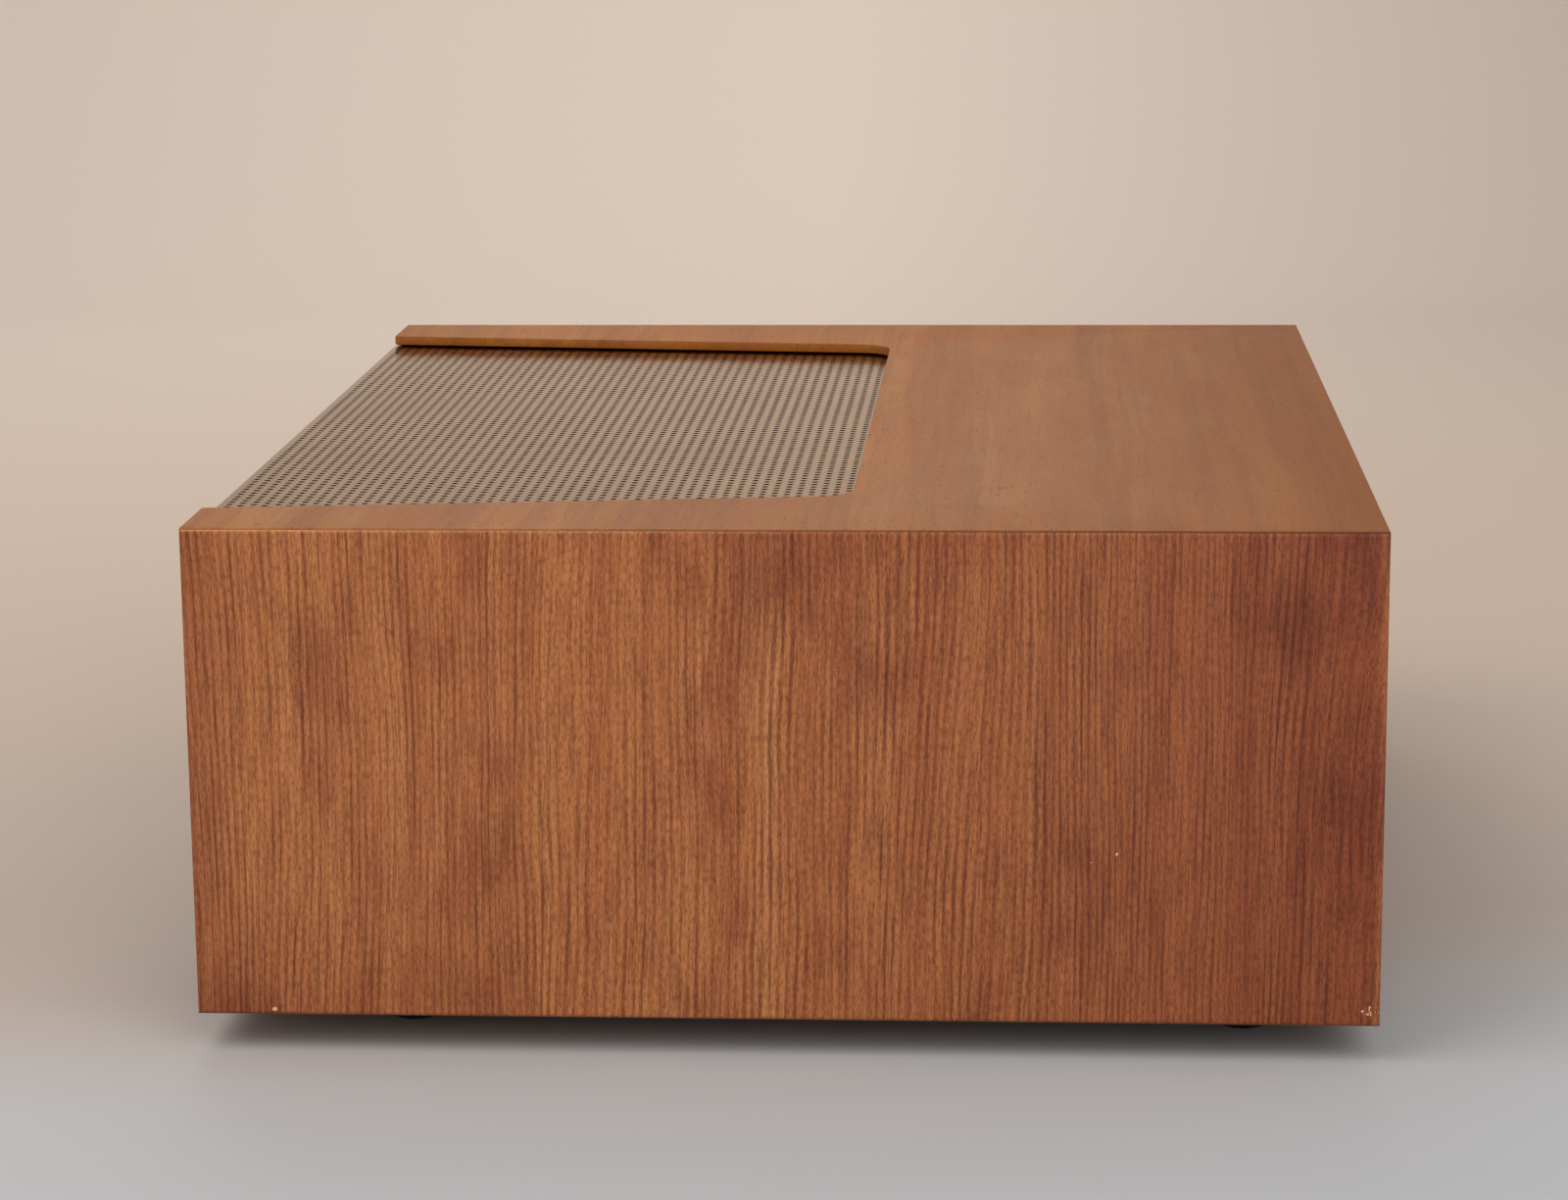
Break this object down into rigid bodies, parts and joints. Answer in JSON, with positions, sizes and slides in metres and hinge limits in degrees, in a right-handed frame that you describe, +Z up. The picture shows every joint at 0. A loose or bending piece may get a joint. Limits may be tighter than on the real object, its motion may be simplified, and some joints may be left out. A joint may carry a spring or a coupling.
{
  "type": "integrated amplifier",
  "caption": "Integrated amplifier in a mitred wooden sleeve: perforated metal cover in the rear of the top, recessed aluminium front with knobs and lever switches.",
  "frame": {"origin": "middle of the object's footprint, on the surface it stands on", "axes": "+X to the right seen from the front, +Y to the rear, +Z up"},
  "size_m": [0.394, 0.323, 0.146],
  "materials": {
    "veneered_wood": "satin lacquered veneer, vertical grain on the sides",
    "plywood": "bare plywood and softwood",
    "vent_cover_metal": "satin warm grey perforated sheet",
    "front_panel_aluminium": "brushed and anodised",
    "knob_aluminium": "turned and anodised",
    "plated_steel": "zinc plated",
    "chrome": "polished",
    "foot_rubber": "moulded",
    "black_moulding": "moulded",
    "pilot_lens": "clear amber",
    "transformer_paint": "black varnish",
    "capacitor_sleeve": "sleeved can",
    "black_aluminium": "black anodised extrusion",
    "circuit_board": "resin-bonded paper board"
  },
  "bodies": {
    "case": {"left_side_panel": "veneered_wood", "right_side_panel": "veneered_wood", "top_panel": "veneered_wood", "bottom_panel": "plywood", "cover_batten_left": "plywood", "cover_batten_right": "plywood", "cover_batten_front": "plywood", "vent_cover": "vent_cover_metal", "front_panel": "front_panel_aluminium", "chassis_tray": "plated_steel", "rear_panel": "plated_steel", "selector_control": "plated_steel", "bass_control": "plated_steel", "treble_control": "plated_steel", "balance_control": "plated_steel", "volume_control": "plated_steel", "tape_monitor_switch": "plated_steel", "low_filter_switch": "plated_steel", "high_filter_switch": "plated_steel", "speaker_switch": "plated_steel", "foot_front_left": "foot_rubber", "foot_screw_front_left": "plated_steel", "foot_front_right": "foot_rubber", "foot_screw_front_right": "plated_steel", "foot_rear_left": "foot_rubber", "foot_screw_rear_left": "plated_steel", "foot_rear_right": "foot_rubber", "foot_screw_rear_right": "plated_steel", "power_switch": "black_moulding", "lamp_holder": "black_moulding", "headphone_jack": "black_moulding", "input_jacks": "black_moulding", "speaker_terminals": "black_moulding", "mains_inlet": "black_moulding", "fuse_holder": "black_moulding", "pilot_lens": "pilot_lens", "power_transformer": "transformer_paint", "smoothing_capacitor_front": "capacitor_sleeve", "smoothing_capacitor_rear": "capacitor_sleeve", "heat_sink_left_channel": "black_aluminium", "heat_sink_right_channel": "black_aluminium", "power_amplifier_board": "circuit_board", "tone_control_board": "circuit_board"},
    "selector_knob": {"selector_knob": "knob_aluminium", "selector_shaft": "plated_steel"},
    "bass_knob": {"bass_knob": "knob_aluminium", "bass_shaft": "plated_steel"},
    "treble_knob": {"treble_knob": "knob_aluminium", "treble_shaft": "plated_steel"},
    "balance_knob": {"balance_knob": "knob_aluminium", "balance_shaft": "plated_steel"},
    "volume_knob": {"volume_knob": "knob_aluminium", "volume_shaft": "plated_steel"},
    "tape_monitor_lever": {"tape_monitor_lever": "chrome"},
    "low_filter_lever": {"low_filter_lever": "chrome"},
    "high_filter_lever": {"high_filter_lever": "chrome"},
    "speaker_lever": {"speaker_lever": "chrome"},
    "power_button": {"power_button": "knob_aluminium"},
    "fuse_cap": {"fuse_cap": "black_moulding"}
  },
  "joints": [
    {"name": "selector_turn", "type": "hinge", "parent": "case", "child": "selector_knob", "pos_m": [-0.132, -0.1525, 0.087], "axis": [0, 1, 0], "range_deg": [-60, 60]},
    {"name": "bass_turn", "type": "hinge", "parent": "case", "child": "bass_knob", "pos_m": [-0.066, -0.1525, 0.087], "axis": [0, 1, 0], "range_deg": [-150, 150]},
    {"name": "treble_turn", "type": "hinge", "parent": "case", "child": "treble_knob", "pos_m": [-0.022, -0.1525, 0.087], "axis": [0, 1, 0], "range_deg": [-150, 150]},
    {"name": "balance_turn", "type": "hinge", "parent": "case", "child": "balance_knob", "pos_m": [0.022, -0.1525, 0.087], "axis": [0, 1, 0], "range_deg": [-150, 150]},
    {"name": "volume_turn", "type": "hinge", "parent": "case", "child": "volume_knob", "pos_m": [0.118, -0.1525, 0.087], "axis": [0, 1, 0], "range_deg": [0, 300]},
    {"name": "tape_monitor_tilt", "type": "hinge", "parent": "case", "child": "tape_monitor_lever", "pos_m": [-0.066, -0.1411, 0.048], "axis": [-1, 0, 0], "range_deg": [0, 24]},
    {"name": "low_filter_tilt", "type": "hinge", "parent": "case", "child": "low_filter_lever", "pos_m": [-0.022, -0.1411, 0.048], "axis": [-1, 0, 0], "range_deg": [0, 24]},
    {"name": "high_filter_tilt", "type": "hinge", "parent": "case", "child": "high_filter_lever", "pos_m": [0.022, -0.1411, 0.048], "axis": [-1, 0, 0], "range_deg": [0, 24]},
    {"name": "speaker_tilt", "type": "hinge", "parent": "case", "child": "speaker_lever", "pos_m": [0.066, -0.1411, 0.048], "axis": [-1, 0, 0], "range_deg": [0, 24]},
    {"name": "power_press", "type": "slide", "parent": "case", "child": "power_button", "axis": [0, 1, 0], "range_m": [0, 0.003], "stiffness_N_per_m": 300},
    {"name": "fuse_cap_turn", "type": "hinge", "parent": "case", "child": "fuse_cap", "pos_m": [0.092, 0.15, 0.087], "axis": [0, 1, 0], "range_deg": [0, 90]}
  ]
}
